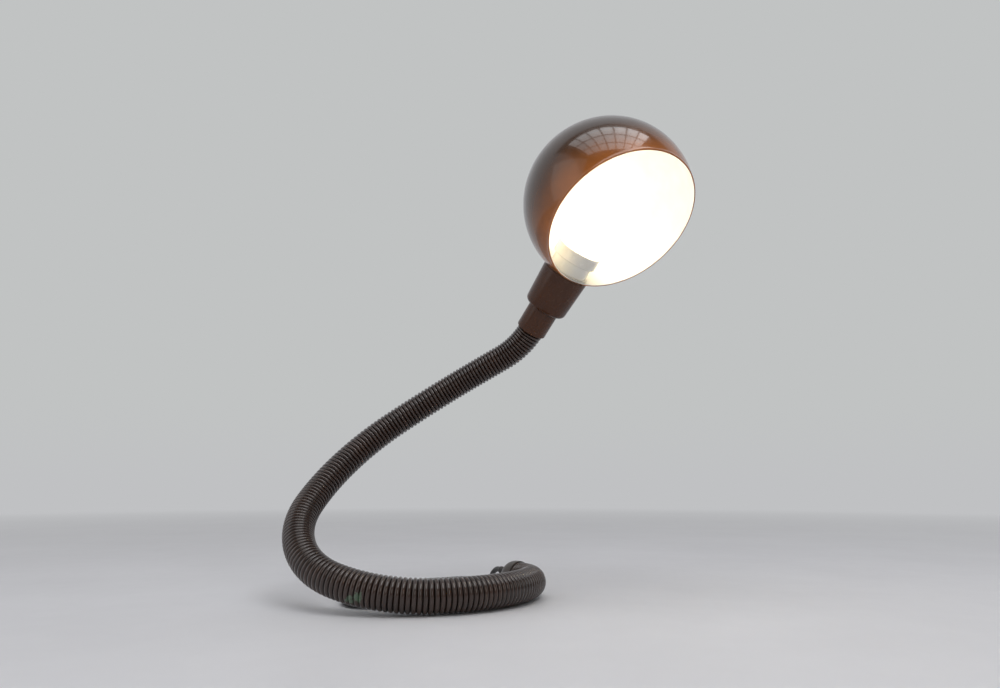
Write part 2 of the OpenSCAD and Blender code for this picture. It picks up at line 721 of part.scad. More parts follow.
module free_cord(route, first, last) {
    color([0.1, 0.09, 0.085]) solid_tube([for (f = route_frames(route, first, last))
        ring(f, cord_d / 2, cord_sides, 180 / cord_sides)], cord_sides);
}

module cord_to_switch() { free_cord(route_to_switch, relief_axis, [0, -1, 0]); }
module cord_to_coil() { free_cord(route_to_coil, [0, -1, 0], coil_way(0)); }
module cord_to_plug() { free_cord(route_to_plug, coil_way(coil_turns), [0, 1, 0]); }

module cord_coil() {
    count = coil_steps * coil_turns;
    middles = [for (i = [0:count]) coil_point(i / coil_steps)];
    gaps = [for (i = [0:count], j = [i + coil_steps / 2:1:count]) norm(middles[i] - middles[j]) - cord_d];
    echo(least_gap_in_coil = min(gaps));
    frames = concat([coil_frame(0, coil_entry)],
        [for (i = [0:count]) coil_frame(i / coil_steps, middles[i])],
        [coil_frame(coil_turns, coil_exit)]);
    color([0.1, 0.09, 0.085])
        solid_tube([for (f = frames) ring(f, cord_d / 2, coil_sides, 180 / coil_sides)], coil_sides);
}

// ---------- switch ----------
module at_switch() {
    translate([switch_place.x, switch_place.y, 0]) rotate([0, 0, switch_turn]) children();
}

// Rectangle with round corners, drawn about the middle
module rounded_plate(len, w, r) {
    square([len - 2 * r, w], center = true);
    square([len, w - 2 * r], center = true);
    for (x = [-1, 1], y = [-1, 1]) translate([x * (len / 2 - r), y * (w / 2 - r)]) circle(r = r);
}

switch_round = 7;
pin_z = switch_low_h + 2.5;
screw_place = [21, 7];
screw_d = 2.5;
slot_gap = 0.3;
post_gap = 0.4;
post_w = 2.4;

module switch_shell_block(h) { linear_extrude(h) rounded_plate(switch_len, switch_w, switch_round); }
module switch_pocket(h) {
    linear_extrude(h) rounded_plate(switch_len - 2 * switch_wall, switch_w - 2 * switch_wall, switch_round - switch_wall);
}
module at_screws() { for (side = [-1, 1]) translate([side * screw_place.x, side * screw_place.y, 0]) children(); }
module lead_hole() {
    translate([0, 0, split_z]) rotate([0, 90, 0]) cylinder(d = cord_d + 2 * slip, h = switch_len + overlap, center = true);
}

module switch_base() {
    color([0.13, 0.11, 0.1]) at_switch() difference() {
        union() {
            difference() {
                switch_shell_block(switch_low_h);
                translate([0, 0, switch_wall]) switch_pocket(switch_low_h);
            }
            at_screws() cylinder(d = screw_d + 4, h = switch_low_h - 1);
        }
        at_screws() translate([0, 0, -overlap]) cylinder(d = screw_d + 4 * slip, h = switch_low_h + overlap);
        at_screws() translate([0, 0, -overlap]) cylinder(d = 2 * screw_d, h = overlap + 1.8);
        lead_hole();
    }
}

module switch_cover() {
    inside_h = switch_top_h - switch_wall;
    color([0.13, 0.11, 0.1]) at_switch() difference() {
        union() {
            translate([0, 0, split_z]) difference() {
                switch_shell_block(switch_top_h);
                translate([0, 0, -overlap]) switch_pocket(inside_h + overlap);
            }
            translate([0, 0, split_z - 0.8]) at_screws() cylinder(d = screw_d + 3, h = inside_h + 1.2);
            for (side = [-1, 1]) translate([-3, side * (rocker_w / 2 + post_gap + post_w / 2) - post_w / 2, split_z])
                cube([6, post_w, inside_h + 0.4]);
        }
        translate([0, 0, split_z + inside_h + switch_top_h / 2])
            cube([rocker_len + 1.6 + 2 * slot_gap, rocker_w + 2 * slot_gap, switch_top_h], center = true);
        translate([0, 0, pin_z]) rotate([90, 0, 0]) cylinder(d = rocker_pin_d, h = switch_w - 4 * switch_wall, center = true);
        at_screws() cylinder(d = screw_d, h = split_z + inside_h - 1);
        lead_hole();
    }
}

module switch_rocker() {
    crown = switch_top_h - 2;
    drop = rocker_len / 2 * tan(rocker_tilt);
    color([0.17, 0.15, 0.14]) at_switch() translate([0, 0, pin_z]) rotate([0, rocker_tilt, 0]) rotate([90, 0, 0])
        translate([0, 0, -rocker_w / 2]) difference() {
            linear_extrude(rocker_w) union() {
                polygon([[-rocker_len / 2, crown - drop], [0, crown], [rocker_len / 2, crown - drop],
                    [rocker_len / 2 - 0.5, 0], [-rocker_len / 2 + 0.5, 0]]);
                circle(r = crown - 1.2);
            }
            translate([0, 0, -overlap]) cylinder(d = rocker_pin_d + 2 * pin_slip, h = rocker_w + 2 * overlap);
        }
}

module rocker_pin() {
    color("silver") at_switch() translate([0, 0, pin_z]) rotate([90, 0, 0])
        cylinder(d = rocker_pin_d, h = rocker_w + 2 * post_gap + 2 * post_w, center = true);
}

module switch_contacts() {
    contact_h = 2.6;
    color([0.8, 0.63, 0.3]) at_switch() for (side = [-1, 1]) {
        translate([side * 9 - 5, -3, switch_wall]) cube([10, 6, 0.8]);
        translate([side * 6, 0, switch_wall + 0.6]) cylinder(d = 4, h = contact_h - 0.6);
        translate([side * 14 - 3, -2, switch_wall]) cube([6, 4, contact_h]);
    }
}

module switch_screws() {
    color("silver") at_switch() at_screws() translate([0, 0, 0.4]) {
        cylinder(d = 2 * screw_d - 2 * slip, h = 1.3);
        cylinder(d = screw_d - 2 * pin_slip, h = split_z + 3);
    }
}

// ---------- plug ----------
module at_plug() { translate([plug_place.x, plug_place.y, 0]) children(); }

module plug_body() {
    shoulder_r = 8;
    waist_w = 13;
    color([0.12, 0.1, 0.095]) at_plug() difference() {
        union() {
            hull() {
                for (x = [-1, 1]) {
                    translate([x * (plug_w / 2 - shoulder_r), -shoulder_r, 0])
                        cylinder(r = shoulder_r, h = plug_h, $fn = hull_fn);
                    translate([x * waist_w / 2, -plug_len + 4, 1]) cylinder(r = 4, h = plug_h - 2, $fn = hull_fn);
                }
            }
            translate([0, -plug_len - plug_relief, plug_z]) rotate([-90, 0, 0])
                cylinder(d1 = cord_d + 2, d2 = 11, h = plug_relief + 4);
        }
        for (x = [-1, 1]) translate([x * plug_pin_gap / 2, -pin_root_len, plug_z]) rotate([-90, 0, 0])
            cylinder(d = pin_root_d, h = pin_root_len + overlap);
    }
}

// Each pin has a thinner root, which ends a little outside the body
module plug_pins() {
    tip = 1;
    root_out = 1;
    color("silver") at_plug() for (x = [-1, 1]) translate([x * plug_pin_gap / 2, 0, plug_z]) rotate([-90, 0, 0]) {
        translate([0, 0, -pin_root_len]) cylinder(d = pin_root_d, h = pin_root_len + root_out);
        translate([0, 0, root_out]) cylinder(d = plug_pin_d, h = plug_pin_len - tip - root_out);
        translate([0, 0, plug_pin_len - tip]) cylinder(d1 = plug_pin_d, d2 = plug_pin_d - 2 * tip, h = tip);
    }
}

hose_tail();
hose_foot();
hose_riser();
hose_lower();
hose_middle();
hose_upper();
hose_top();
flex_tail();
flex_riser();
flex_lower();
flex_middle();
flex_upper();
flex_top();
core_tail();
core_foot();
core_riser();
core_lower();
core_middle();
core_upper();
core_top();
lead_tail();
lead_foot();
lead_riser();
lead_lower();
lead_middle();
lead_upper();
lead_top();
end_cap();
strain_relief();
neck_ferrule();
neck_sleeve();
nipple_tube();
neck_cup();
lock_nut();
shade();
shade_seat();
lampholder();
screw_shell();
centre_contact();
terminal_screws();
bulb_glass();
bulb_cap();
bulb_insulator();
bulb_contact();
bulb_stem();
bulb_filament();
cord_to_switch();
cord_to_coil();
cord_coil();
cord_to_plug();
switch_base();
switch_cover();
switch_rocker();
rocker_pin();
switch_contacts();
switch_screws();
plug_body();
plug_pins();
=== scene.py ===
"""Looks of the gooseneck desk lamp: its skin, finishes, lead, light and camera.

Lengths below are in millimetres, as in the part's source, and MM turns them
into metres where a mesh or a call needs it.
"""
import math

import bmesh
import bpy
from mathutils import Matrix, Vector


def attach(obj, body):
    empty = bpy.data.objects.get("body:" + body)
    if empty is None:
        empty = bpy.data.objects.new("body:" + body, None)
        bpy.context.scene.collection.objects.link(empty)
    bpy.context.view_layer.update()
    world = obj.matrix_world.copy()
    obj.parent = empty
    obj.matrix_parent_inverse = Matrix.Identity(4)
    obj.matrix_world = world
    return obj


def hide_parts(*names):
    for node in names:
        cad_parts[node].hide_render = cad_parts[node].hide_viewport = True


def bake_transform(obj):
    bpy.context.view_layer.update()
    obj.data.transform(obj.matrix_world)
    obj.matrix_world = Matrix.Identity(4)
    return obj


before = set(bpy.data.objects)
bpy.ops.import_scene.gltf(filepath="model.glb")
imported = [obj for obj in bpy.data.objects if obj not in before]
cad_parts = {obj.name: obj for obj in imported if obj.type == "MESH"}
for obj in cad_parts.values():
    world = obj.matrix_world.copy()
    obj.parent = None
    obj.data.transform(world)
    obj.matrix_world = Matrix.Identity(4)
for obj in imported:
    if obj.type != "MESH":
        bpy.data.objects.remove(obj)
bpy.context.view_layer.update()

MM = 0.001
TAU = 2 * math.pi

# ---------------------------------------------------------------- camera
CAMERA_AT = (53.5, -586.8, 101.4)
CAMERA_PITCH = 11.33
LENS = 25.2


def make_camera():
    camera = bpy.data.cameras.new("photo_view")
    camera.lens = LENS
    camera.sensor_width = 36
    seat = bpy.data.objects.new("photo_view", camera)
    seat.location = Vector(CAMERA_AT) * MM
    seat.rotation_euler = (math.radians(90 + CAMERA_PITCH), 0, 0)
    bpy.context.collection.objects.link(seat)
    bpy.context.scene.camera = seat


make_camera()

# ---------------------------------------------------------------- the run of the hose
HOSE_D = 28
FACETED_HOSE_R = HOSE_D / (1 + math.cos(math.pi / 8))
FOOT_Z = FACETED_HOSE_R - 0.5
FOOT_HEADING = math.radians(12)
TAIL_ARCS = [(118, 64, 0), (38, 54, 0)]
NECK_ARCS = [(86, 40, -23), (112.9, 74.4, -41.9), (126.1, 48.8, -63.9), (99.9, 17.7, -74.6),
             (31.9, 0, 0), (44, -34, 42.3)]
TAIL_S = -156
NECK_LEN = 500.8
BENDS = [-85, 85, 175, 260, 345, 425]
FLEX_HALF = 20

NECK_START = (
    Vector((0, 0, FOOT_Z)),
    Vector((-math.cos(FOOT_HEADING), -math.sin(FOOT_HEADING), 0)),
    Vector((-math.sin(FOOT_HEADING), math.cos(FOOT_HEADING), 0)),
    Vector((0, 0, -1)),
)


def spun(v, axis, angle):
    """A vector turned about an axis by an angle in radians."""
    return (v * math.cos(angle) + axis.cross(v) * math.sin(angle)
            + axis * axis.dot(v) * (1 - math.cos(angle)))


def moved(place, length, turn, direction):
    """The place at the end of an arc: a place is (point, way, side, rise)."""
    point, way, side, rise = place
    direction = math.radians(direction)
    turn = math.radians(turn)
    axis = way.cross(side * math.cos(direction) + rise * math.sin(direction))
    chord = length if abs(turn) < 1e-4 else length * math.sin(turn / 2) / (turn / 2)
    return (point + spun(way, axis, turn / 2) * chord, spun(way, axis, turn),
            spun(side, axis, turn), spun(rise, axis, turn))


def walk(place, arcs, s):
    for length, turn, direction in arcs:
        if s <= length:
            return moved(place, s, turn * s / length, direction)
        place = moved(place, length, turn, direction)
        s -= length
    return moved(place, s, 0, 0)


def turned_back(place):
    point, way, side, rise = place
    return point, -way, side, -rise


def hose_place(s):
    """Point, way, side and rise of the hose, s along it from the middle of the foot."""
    if s >= 0:
        return walk(NECK_START, NECK_ARCS, s)
    return turned_back(walk(turned_back(NECK_START), TAIL_ARCS, -s))


# ---------------------------------------------------------------- mesh helpers
ROUND_STEPS = 5


def link(obj):
    bpy.context.collection.objects.link(obj)
    return obj


def smooth(mesh, sharp):
    """Smooth shading, but for edges that turn by more than an angle in degrees."""
    mesh.shade_smooth()
    mesh.set_sharp_from_angle(angle=math.radians(sharp))


def rest_on_table(mesh):
    """Flattens what would dip into the table."""
    for vertex in mesh.vertices:
        vertex.co.z = max(vertex.co.z, 0)


def finish_mesh(name, mesh, materials, sharp=40):
    for material in materials:
        mesh.materials.append(material)
    smooth(mesh, sharp)
    return link(bpy.data.objects.new(name, mesh))


def clean(mesh):
    """Merges doubles and turns the faces outwards."""
    work = bmesh.new()
    work.from_mesh(mesh)
    bmesh.ops.remove_doubles(work, verts=work.verts, dist=1e-6)
    bmesh.ops.dissolve_degenerate(work, edges=work.edges, dist=1e-7)
    bmesh.ops.recalc_face_normals(work, faces=work.faces)
    work.to_mesh(mesh)
    work.free()


def solid_from_rings(rings, closed_run, slots=None):
    """A mesh from rings of points in mm, with lids unless the run of rings closes on itself."""
    sides = len(rings[0])
    points = [p * MM for ring in rings for p in ring]
    faces, face_slots = [], []
    spans = len(rings) if closed_run else len(rings) - 1
    for i in range(spans):
        a, b = i * sides, (i + 1) % len(rings) * sides
        for k in range(sides):
            m = (k + 1) % sides
            faces.append((a + k, a + m, b + m, b + k))
            face_slots.append(slots[i] if slots else 0)
    if not closed_run:
        faces.append(tuple(range(sides)))
        faces.append(tuple((len(rings) - 1) * sides + k for k in range(sides)))
        face_slots += [slots[0] if slots else 0, slots[-1] if slots else 0]
    mesh = bpy.data.meshes.new("rings")
    mesh.from_pydata(points, [], faces)
    mesh.polygons.foreach_set("material_index", face_slots)
    clean(mesh)
    return mesh


def rounded(corners, closed=True):
    """A line through (r, z, radius) corners, each rounded by its radius."""
    line = []
    count = len(corners)
    for i, (r, z, radius) in enumerate(corners):
        here = Vector((r, z))
        if radius <= 0 or (not closed and i in (0, count - 1)):
            line.append(here)
            continue
        before = Vector(corners[i - 1][:2]) - here
        after = Vector(corners[(i + 1) % count][:2]) - here
        half = before.angle(after) / 2
        reach = min(radius / math.tan(half), before.length * 0.49, after.length * 0.49)
        a = here + before.normalized() * reach
        b = here + after.normalized() * reach
        for j in range(ROUND_STEPS + 1):
            t = j / ROUND_STEPS
            line.append(a * (1 - t) ** 2 + here * 2 * t * (1 - t) + b * t ** 2)
    return line


def lathe(name, profile, spindle, materials, sides=96, slots=None, sharp=40):
    """Turns a closed (r, z) line about a spindle, which is (point, side, rise, way)."""
    point, side, rise, way = spindle
    rings = []
    for p in profile:
        ring = []
        for k in range(sides):
            a = TAU * k / sides
            ring.append(point + way * p[1] + (side * math.cos(a) + rise * math.sin(a)) * p[0])
        rings.append(ring)
    return finish_mesh(name, solid_from_rings(rings, True, slots), materials, sharp)


def tube_mesh(points, radii, sides=16):
    """A closed tube along points in mm, with as many radii."""
    count = len(points)
    ways = [(points[min(i + 1, count - 1)] - points[max(i - 1, 0)]).normalized()
            for i in range(count)]
    side = ways[0].orthogonal().normalized()
    rings = []
    for i in range(count):
        side = (side - ways[i] * side.dot(ways[i])).normalized()
        rise = ways[i].cross(side)
        angles = [TAU * k / sides for k in range(sides)]
        rings.append([points[i] + (side * math.cos(a) + rise * math.sin(a)) * radii[i]
                      for a in angles])
    return solid_from_rings(rings, False)


def smooth_line(points, gap):
    """A smooth line through given points, in steps of about one gap."""
    line = []
    count = len(points)
    for i in range(count - 1):
        p0 = points[i - 1] if i else points[0] * 2 - points[1]
        p1, p2 = points[i], points[i + 1]
        p3 = points[i + 2] if i + 2 < count else points[-1] * 2 - points[-2]
        steps = max(1, round((p2 - p1).length / gap))
        for j in range(steps):
            t = j / steps
            line.append(0.5 * (2 * p1 + (p2 - p0) * t + (2 * p0 - 5 * p1 + 4 * p2 - p3) * t * t
                               + (3 * p1 - p0 - 3 * p2 + p3) * t ** 3))
    line.append(points[-1])
    return line


def line_length(line):
    return sum((b - a).length for a, b in zip(line, line[1:]))


# ---------------------------------------------------------------- materials
def rgb(r, g, b):
    """A colour written as in a paint program, 0 to 255, as the shader wants it."""
    def straight(c):
        c /= 255
        return c / 12.92 if c <= 0.04045 else ((c + 0.055) / 1.055) ** 2.4
    return straight(r), straight(g), straight(b), 1.0


def add_node(tree, kind, sources=(), **settings):
    """A new node with its settings, and a value or another node's output at its sockets."""
    node = tree.nodes.new(kind)
    for key, value in settings.items():
        setattr(node, key, value)
    for socket, source in sources:
        if hasattr(source, "is_output"):
            tree.links.new(source, node.inputs[socket])
        else:
            node.inputs[socket].default_value = source
    return node


class Finish:
    """A material with its shader and a short way to add nodes."""

    def __init__(self, name, **sockets):
        self.material = bpy.data.materials.new(name)
        self.material.use_nodes = True
        self.tree = self.material.node_tree
        self.nodes, self.links = self.tree.nodes, self.tree.links
        self.shader = self.nodes["Principled BSDF"]
        self.place = self.nodes.new("ShaderNodeTexCoord").outputs["Object"]
        for socket, value in sockets.items():
            self.shader.inputs[socket.replace("_", " ")].default_value = value

    def node(self, kind, sources=(), **settings):
        return add_node(self.tree, kind, sources, **settings)

    def noise(self, scale, detail=3, rough=0.55, stretch=None):
        place = self.place
        if stretch:
            mapping = self.node("ShaderNodeMapping", [("Vector", self.place), ("Scale", stretch)])
            place = mapping.outputs["Vector"]
        return self.node("ShaderNodeTexNoise",
                         [("Vector", place), ("Scale", scale), ("Detail", detail),
                          ("Roughness", rough)]).outputs["Fac"]

    def spread(self, value, low, high, low_to, high_to):
        return self.node("ShaderNodeMapRange",
                         [("Value", value), ("From Min", low), ("From Max", high),
                          ("To Min", low_to), ("To Max", high_to)]).outputs["Result"]

    def math(self, operation, a, b=0.0):
        return self.node("ShaderNodeMath", [(0, a), (1, b)], operation=operation).outputs[0]

    def mix(self, share, a, b):
        sources = [(0, share), (6, a), (7, b)]
        return self.node("ShaderNodeMix", sources, data_type="RGBA").outputs[2]

    def attribute(self, name):
        return self.node("ShaderNodeAttribute", attribute_name=name).outputs["Fac"]

    def distance(self, point):
        """Distance in metres from a point given in mm."""
        return self.node("ShaderNodeVectorMath", [(0, self.place), (1, tuple(Vector(point) * MM))],
                         operation="DISTANCE").outputs["Value"]

    def along(self, point, way):
        """Distance in metres along a way from a point given in mm."""
        way = Vector(way)
        dot = self.node("ShaderNodeVectorMath", [(0, self.place), (1, tuple(way))],
                        operation="DOT_PRODUCT")
        return self.math("SUBTRACT", dot.outputs["Value"], way.dot(Vector(point)) * MM)

    def set(self, socket, source):
        self.links.new(source, self.shader.inputs[socket])

    def bump(self, height, strength=0.3, distance=0.0003):
        node = self.node("ShaderNodeBump",
                         [("Height", height), ("Strength", strength), ("Distance", distance)])
        self.links.new(node.outputs["Normal"], self.shader.inputs["Normal"])


def moulded(name, dark, light, roughness, grain=900, grain_depth=0.00008, coat=0.0, specular=0.5):
    """Moulded plastic: a little uneven in colour and gloss, with a fine grain."""
    finish = Finish(name, Specular_IOR_Level=specular, Coat_Weight=coat, Coat_Roughness=0.12)
    finish.set("Base Color",
               finish.mix(finish.spread(finish.noise(45), 0.3, 0.7, 0, 1), dark, light))
    finish.set("Roughness",
               finish.spread(finish.noise(160, 4), 0.3, 0.7, roughness - 0.06, roughness + 0.08))
    finish.bump(finish.noise(grain, 2), 0.35, grain_depth)
    return finish.material


def metal(name, colour, roughness, streaks=(1, 1, 30)):
    """Plated or drawn metal with fine streaks and dull spots."""
    finish = Finish(name, Metallic=1.0)
    finish.set("Base Color",
               finish.mix(finish.spread(finish.noise(60, 5), 0.35, 0.75, 0, 0.6), colour,
                          tuple(c * 0.72 for c in colour[:3]) + (1.0,)))
    finish.set("Roughness", finish.spread(finish.noise(400, 3, stretch=streaks), 0.3, 0.7,
                                          roughness - 0.07, roughness + 0.1))
    finish.bump(finish.noise(700, 2, stretch=streaks), 0.2, 0.00004)
    return finish.material


# A fleck of green paint on the front of the foot, between these points
PAINT_FLECK = ((-64.3, -9.5, 11.9), (-57.8, -12.8, 14.7))


def make_hose_vinyl():
    finish = Finish("hose_vinyl", Specular_IOR_Level=0.25, Coat_Weight=1.0, Coat_Roughness=0.07)
    crest = finish.attribute("crest")
    tone = finish.mix(finish.spread(finish.noise(38), 0.3, 0.7, 0, 1), rgb(38, 19, 9),
                      rgb(54, 31, 18))
    dust = finish.spread(finish.noise(120, 6, 0.65), 0.5, 0.75, 0, 0.12)
    tone = finish.mix(finish.math("MULTIPLY", dust, crest), tone, rgb(104, 92, 82))
    # Painted shade: the grooves between the ribs are mixed almost black, for the shade that falls
    # in them.
    tone = finish.mix(finish.spread(crest, 0.1, 0.85, 0.97, 0), tone, rgb(6, 3, 2))
    fleck = finish.math("ADD", finish.math("MINIMUM", *(finish.distance(p) for p in PAINT_FLECK)),
                        finish.math("MULTIPLY", finish.noise(260, 4), 0.012))
    tone = finish.mix(finish.spread(fleck, 0.0092, 0.011, 0.7, 0), tone, rgb(84, 112, 88))
    finish.set("Base Color", tone)
    finish.set("Roughness", finish.spread(finish.noise(210, 4), 0.3, 0.7, 0.28, 0.42))
    finish.bump(finish.noise(1500, 3), 0.25, 0.00003)
    return finish.material


HOSE_VINYL = make_hose_vinyl()
DARK_MOULDING = moulded("dark_brown_moulding", rgb(66, 34, 12), rgb(78, 42, 16), 0.24, grain=500,
                        grain_depth=0.00003, coat=0.15, specular=0.3)
CAP_MOULDING = moulded("end_cap_moulding", rgb(58, 52, 48), rgb(78, 71, 66), 0.36)
CORD_SHEATH = moulded("cord_sheath", rgb(26, 22, 20), rgb(38, 33, 30), 0.45, grain=1600)
SWITCH_MOULDING = moulded("switch_moulding", rgb(44, 34, 29), rgb(56, 44, 38), 0.32, grain=1200)
ROCKER_MOULDING = moulded("rocker_moulding", rgb(66, 52, 44), rgb(80, 64, 55), 0.28, grain=1200)
PLUG_MOULDING = moulded("plug_moulding", rgb(34, 28, 25), rgb(46, 39, 35), 0.38, grain=1300)
WHITE_MOULDING = moulded("white_moulding", rgb(228, 224, 212), rgb(238, 235, 226), 0.22, grain=300,
                         grain_depth=0.00002, coat=0.4)
SEAT_MOULDING = moulded("seat_moulding", rgb(205, 200, 188), rgb(218, 214, 203), 0.5)
CORE_STEEL = metal("wound_steel", rgb(150, 150, 152), 0.38)
FITTING_STEEL = metal("plated_steel", rgb(196, 196, 194), 0.25)
CONTACT_BRASS = metal("contact_brass", rgb(214, 168, 92), 0.24)
BULB_METAL = metal("bulb_cap_metal", rgb(190, 190, 188), 0.28)
PIN_NICKEL = metal("pin_nickel", rgb(206, 205, 202), 0.16)

# ---------------------------------------------------------------- cords
CORD_D = 5
SWITCH_AT = Vector((-82, 96, 0))
SWITCH_LEN, SWITCH_W, SWITCH_ROUND = 58, 24, 7
SWITCH_LOW_H, SWITCH_TOP_H = 7, 7
PLUG_AT = Vector((37, 112, 0))
PLUG_Z = 6.85
PLUG_TAIL_Y = 57

TAIL_POINT, TAIL_WAY, _, _ = hose_place(TAIL_S)
CAP_WAY = -TAIL_WAY
CAP_R, CAP_RIM = 15, 5
DOME_AT = TAIL_POINT + CAP_WAY * CAP_RIM
RELIEF_HEADING, RELIEF_RISE = math.radians(115), math.radians(5)
RELIEF_WAY = Vector((math.cos(RELIEF_RISE) * math.cos(RELIEF_HEADING),
                     math.cos(RELIEF_RISE) * math.sin(RELIEF_HEADING), math.sin(RELIEF_RISE)))
RELIEF_END = CAP_R + 20
CORD_EXIT = DOME_AT + RELIEF_WAY * RELIEF_END

TO_SWITCH = [(51.4, 155.8, 17.1), (49.1, 161.6, 15.6), (46.5, 168.2, 12.3), (44.3, 176.3, 7.2),
             (41.6, 183.7, 4.1), (37.5, 190.1, 2.8), (31.9, 194.9, 2.5), (24.9, 197.7, 2.5),
             (17.1, 198.1, 2.5), (8, 195.8, 2.5), (-1.7, 190.6, 2.5), (-14, 184.6, 2.5),
             (-27, 177.6, 2.5), (-40, 170.4, 2.5), (-52.3, 163.3, 2.5), (-59.5, 157.2, 2.5),
             (-63.7, 154.2, 2.7), (-72.4, 148.6, 3.5), (-77.9, 142.1, 4.8), (-81.1, 133.3, 6.3)]
TO_COIL = [(-82, 59, 6.5), (-81.8, 51, 5.1), (-80, 43.5, 3.6), (-76, 36.8, 2.7), (-70, 31.5, 2.5),
           (-62.5, 27.8, 2.5), (-53, 25.4, 2.5), (-42, 24.8, 2.5)]
TO_PLUG = [(-6.5, 28.7, 7.2), (3, 29.8, 5.2), (12, 32, 4), (20.5, 35.5, 4), (28, 41, 5),
           (33.5, 47.5, 6.3), (36.5, 54, 6.85)]
COIL_AT = Vector((-25.5, 66, 0))
COIL_PITCH, COIL_TURNS, COIL_IN_R, COIL_START, COIL_STEPS, COIL_CLIMB = 5.5, 7, 20, 275, 24, 0.25


def coil_point(t):
    """The middle of the cord, t turns into the coil."""
    radius = COIL_IN_R + COIL_PITCH * abs(t - COIL_TURNS / 2)
    x = min(1, max(0, (t - COIL_TURNS / 2) / (2 * COIL_CLIMB) + 0.5))
    a = math.radians(COIL_START) + TAU * t
    return COIL_AT + Vector((radius * math.cos(a), radius * math.sin(a),
                             CORD_D / 2 + COIL_PITCH * x * x * (3 - 2 * x)))


def coil_way(t):
    a = math.radians(COIL_START) + TAU * t
    return Vector((-math.sin(a), math.cos(a), 0))


COIL_ENTRY = coil_point(0) - coil_way(0) * CORD_D
COIL_EXIT = coil_point(COIL_TURNS) + coil_way(COIL_TURNS) * CORD_D
SWITCH_BACK = SWITCH_AT + Vector((0, SWITCH_LEN / 2, SWITCH_LOW_H))
SWITCH_FRONT = SWITCH_AT + Vector((0, -SWITCH_LEN / 2, SWITCH_LOW_H))
PLUG_TAIL = Vector((PLUG_AT.x, PLUG_TAIL_Y, PLUG_Z))


CORD_SIDES = 14
CORD_STEP = 2.5


def make_cord(name, points, nodes):
    line = smooth_line([Vector(p) for p in points], CORD_STEP)
    mesh = tube_mesh(line, [CORD_D / 2] * len(line), CORD_SIDES)
    piece = finish_mesh(name, mesh, [CORD_SHEATH], 60)
    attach(piece, "foot_tail")
    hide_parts(*nodes)


cord_to_switch = [CORD_EXIT] + TO_SWITCH + [SWITCH_BACK]
coil_points = [coil_point(i / COIL_STEPS) for i in range(COIL_STEPS * COIL_TURNS + 1)]
cord_to_plug = ([SWITCH_FRONT] + TO_COIL + [COIL_ENTRY] + coil_points + [COIL_EXIT]
                + TO_PLUG + [PLUG_TAIL])

make_cord("mains_cord_lamp_side", cord_to_switch,
          ["cord_to_switch"])
make_cord("mains_cord_plug_side", cord_to_plug,
          ["cord_to_coil", "cord_coil", "cord_to_plug"])

# ---------------------------------------------------------------- the ribbed hose
RIB_DEPTH = 1.9
STEPS_A_RIB = 10
SKIN_SIDES = 40
SKIN_SHARP = 75
HOSE_SKIN_END = NECK_LEN + 6


def make_rib_tree():
    """Geometry Nodes: a line swept into a hose whose radius swells once a rib."""
    tree = bpy.data.node_groups.new("ribbed_hose", "GeometryNodeTree")
    face = tree.interface
    face.new_socket("Geometry", in_out="OUTPUT", socket_type="NodeSocketGeometry")
    face.new_socket("Geometry", in_out="INPUT", socket_type="NodeSocketGeometry")
    for name in ("Radius", "Rib depth", "Rib pitch"):
        face.new_socket(name, in_out="INPUT", socket_type="NodeSocketFloat")
    face.new_socket("Sides", in_out="INPUT", socket_type="NodeSocketInt")
    face.new_socket("Material", in_out="INPUT", socket_type="NodeSocketMaterial")

    def add(kind, sources=(), **settings):
        return add_node(tree, kind, sources, **settings)

    def result(operation, a, b=0.0):
        return add("ShaderNodeMath", [(0, a), (1, b)], operation=operation).outputs[0]

    given = add("NodeGroupInput").outputs
    along = add("GeometryNodeSplineParameter").outputs["Length"]
    phase = result("FRACT", result("DIVIDE", along, given["Rib pitch"]))
    swing = result("ABSOLUTE", result("SUBTRACT", result("MULTIPLY", phase, 2.0), 1.0))
    crest = result("POWER", result("SUBTRACT", 1.0, result("POWER", swing, 2.0)), 0.6)
    radius = result("ADD", result("SUBTRACT", given["Radius"], given["Rib depth"]),
                    result("MULTIPLY", crest, given["Rib depth"]))
    kept = add("GeometryNodeCaptureAttribute", [("Geometry", given["Geometry"])], domain="POINT")
    kept.capture_items.new("FLOAT", "Crest")
    tree.links.new(crest, kept.inputs["Crest"])
    circle = add("GeometryNodeCurvePrimitiveCircle",
                 [("Resolution", given["Sides"]), ("Radius", 1.0)])
    sweep = add("GeometryNodeCurveToMesh", [
        ("Curve", kept.outputs["Geometry"]), ("Profile Curve", circle.outputs["Curve"]),
        ("Scale", radius), ("Fill Caps", True)])
    named = add("GeometryNodeStoreNamedAttribute",
                [("Geometry", sweep.outputs["Mesh"]), ("Name", "crest"),
                                                    ("Value", kept.outputs["Crest"])],
                data_type="FLOAT", domain="POINT")
    real = add("GeometryNodeRealizeInstances", [("Geometry", named.outputs["Geometry"])])
    painted = add("GeometryNodeSetMaterial", [("Geometry", real.outputs["Geometry"]),
                                              ("Material", given["Material"])])
    tree.links.new(painted.outputs["Geometry"], add("NodeGroupOutput").inputs["Geometry"])
    return tree


RIB_TREE = make_rib_tree()


def line_object(name, points):
    """A plain curve through points in mm."""
    curve = bpy.data.curves.new(name, "CURVE")
    curve.dimensions = "3D"
    spline = curve.splines.new("POLY")
    spline.points.add(len(points) - 1)
    for knot, p in zip(spline.points, points):
        knot.co = (*(p * MM), 1.0)
    return link(bpy.data.objects.new(name, curve))


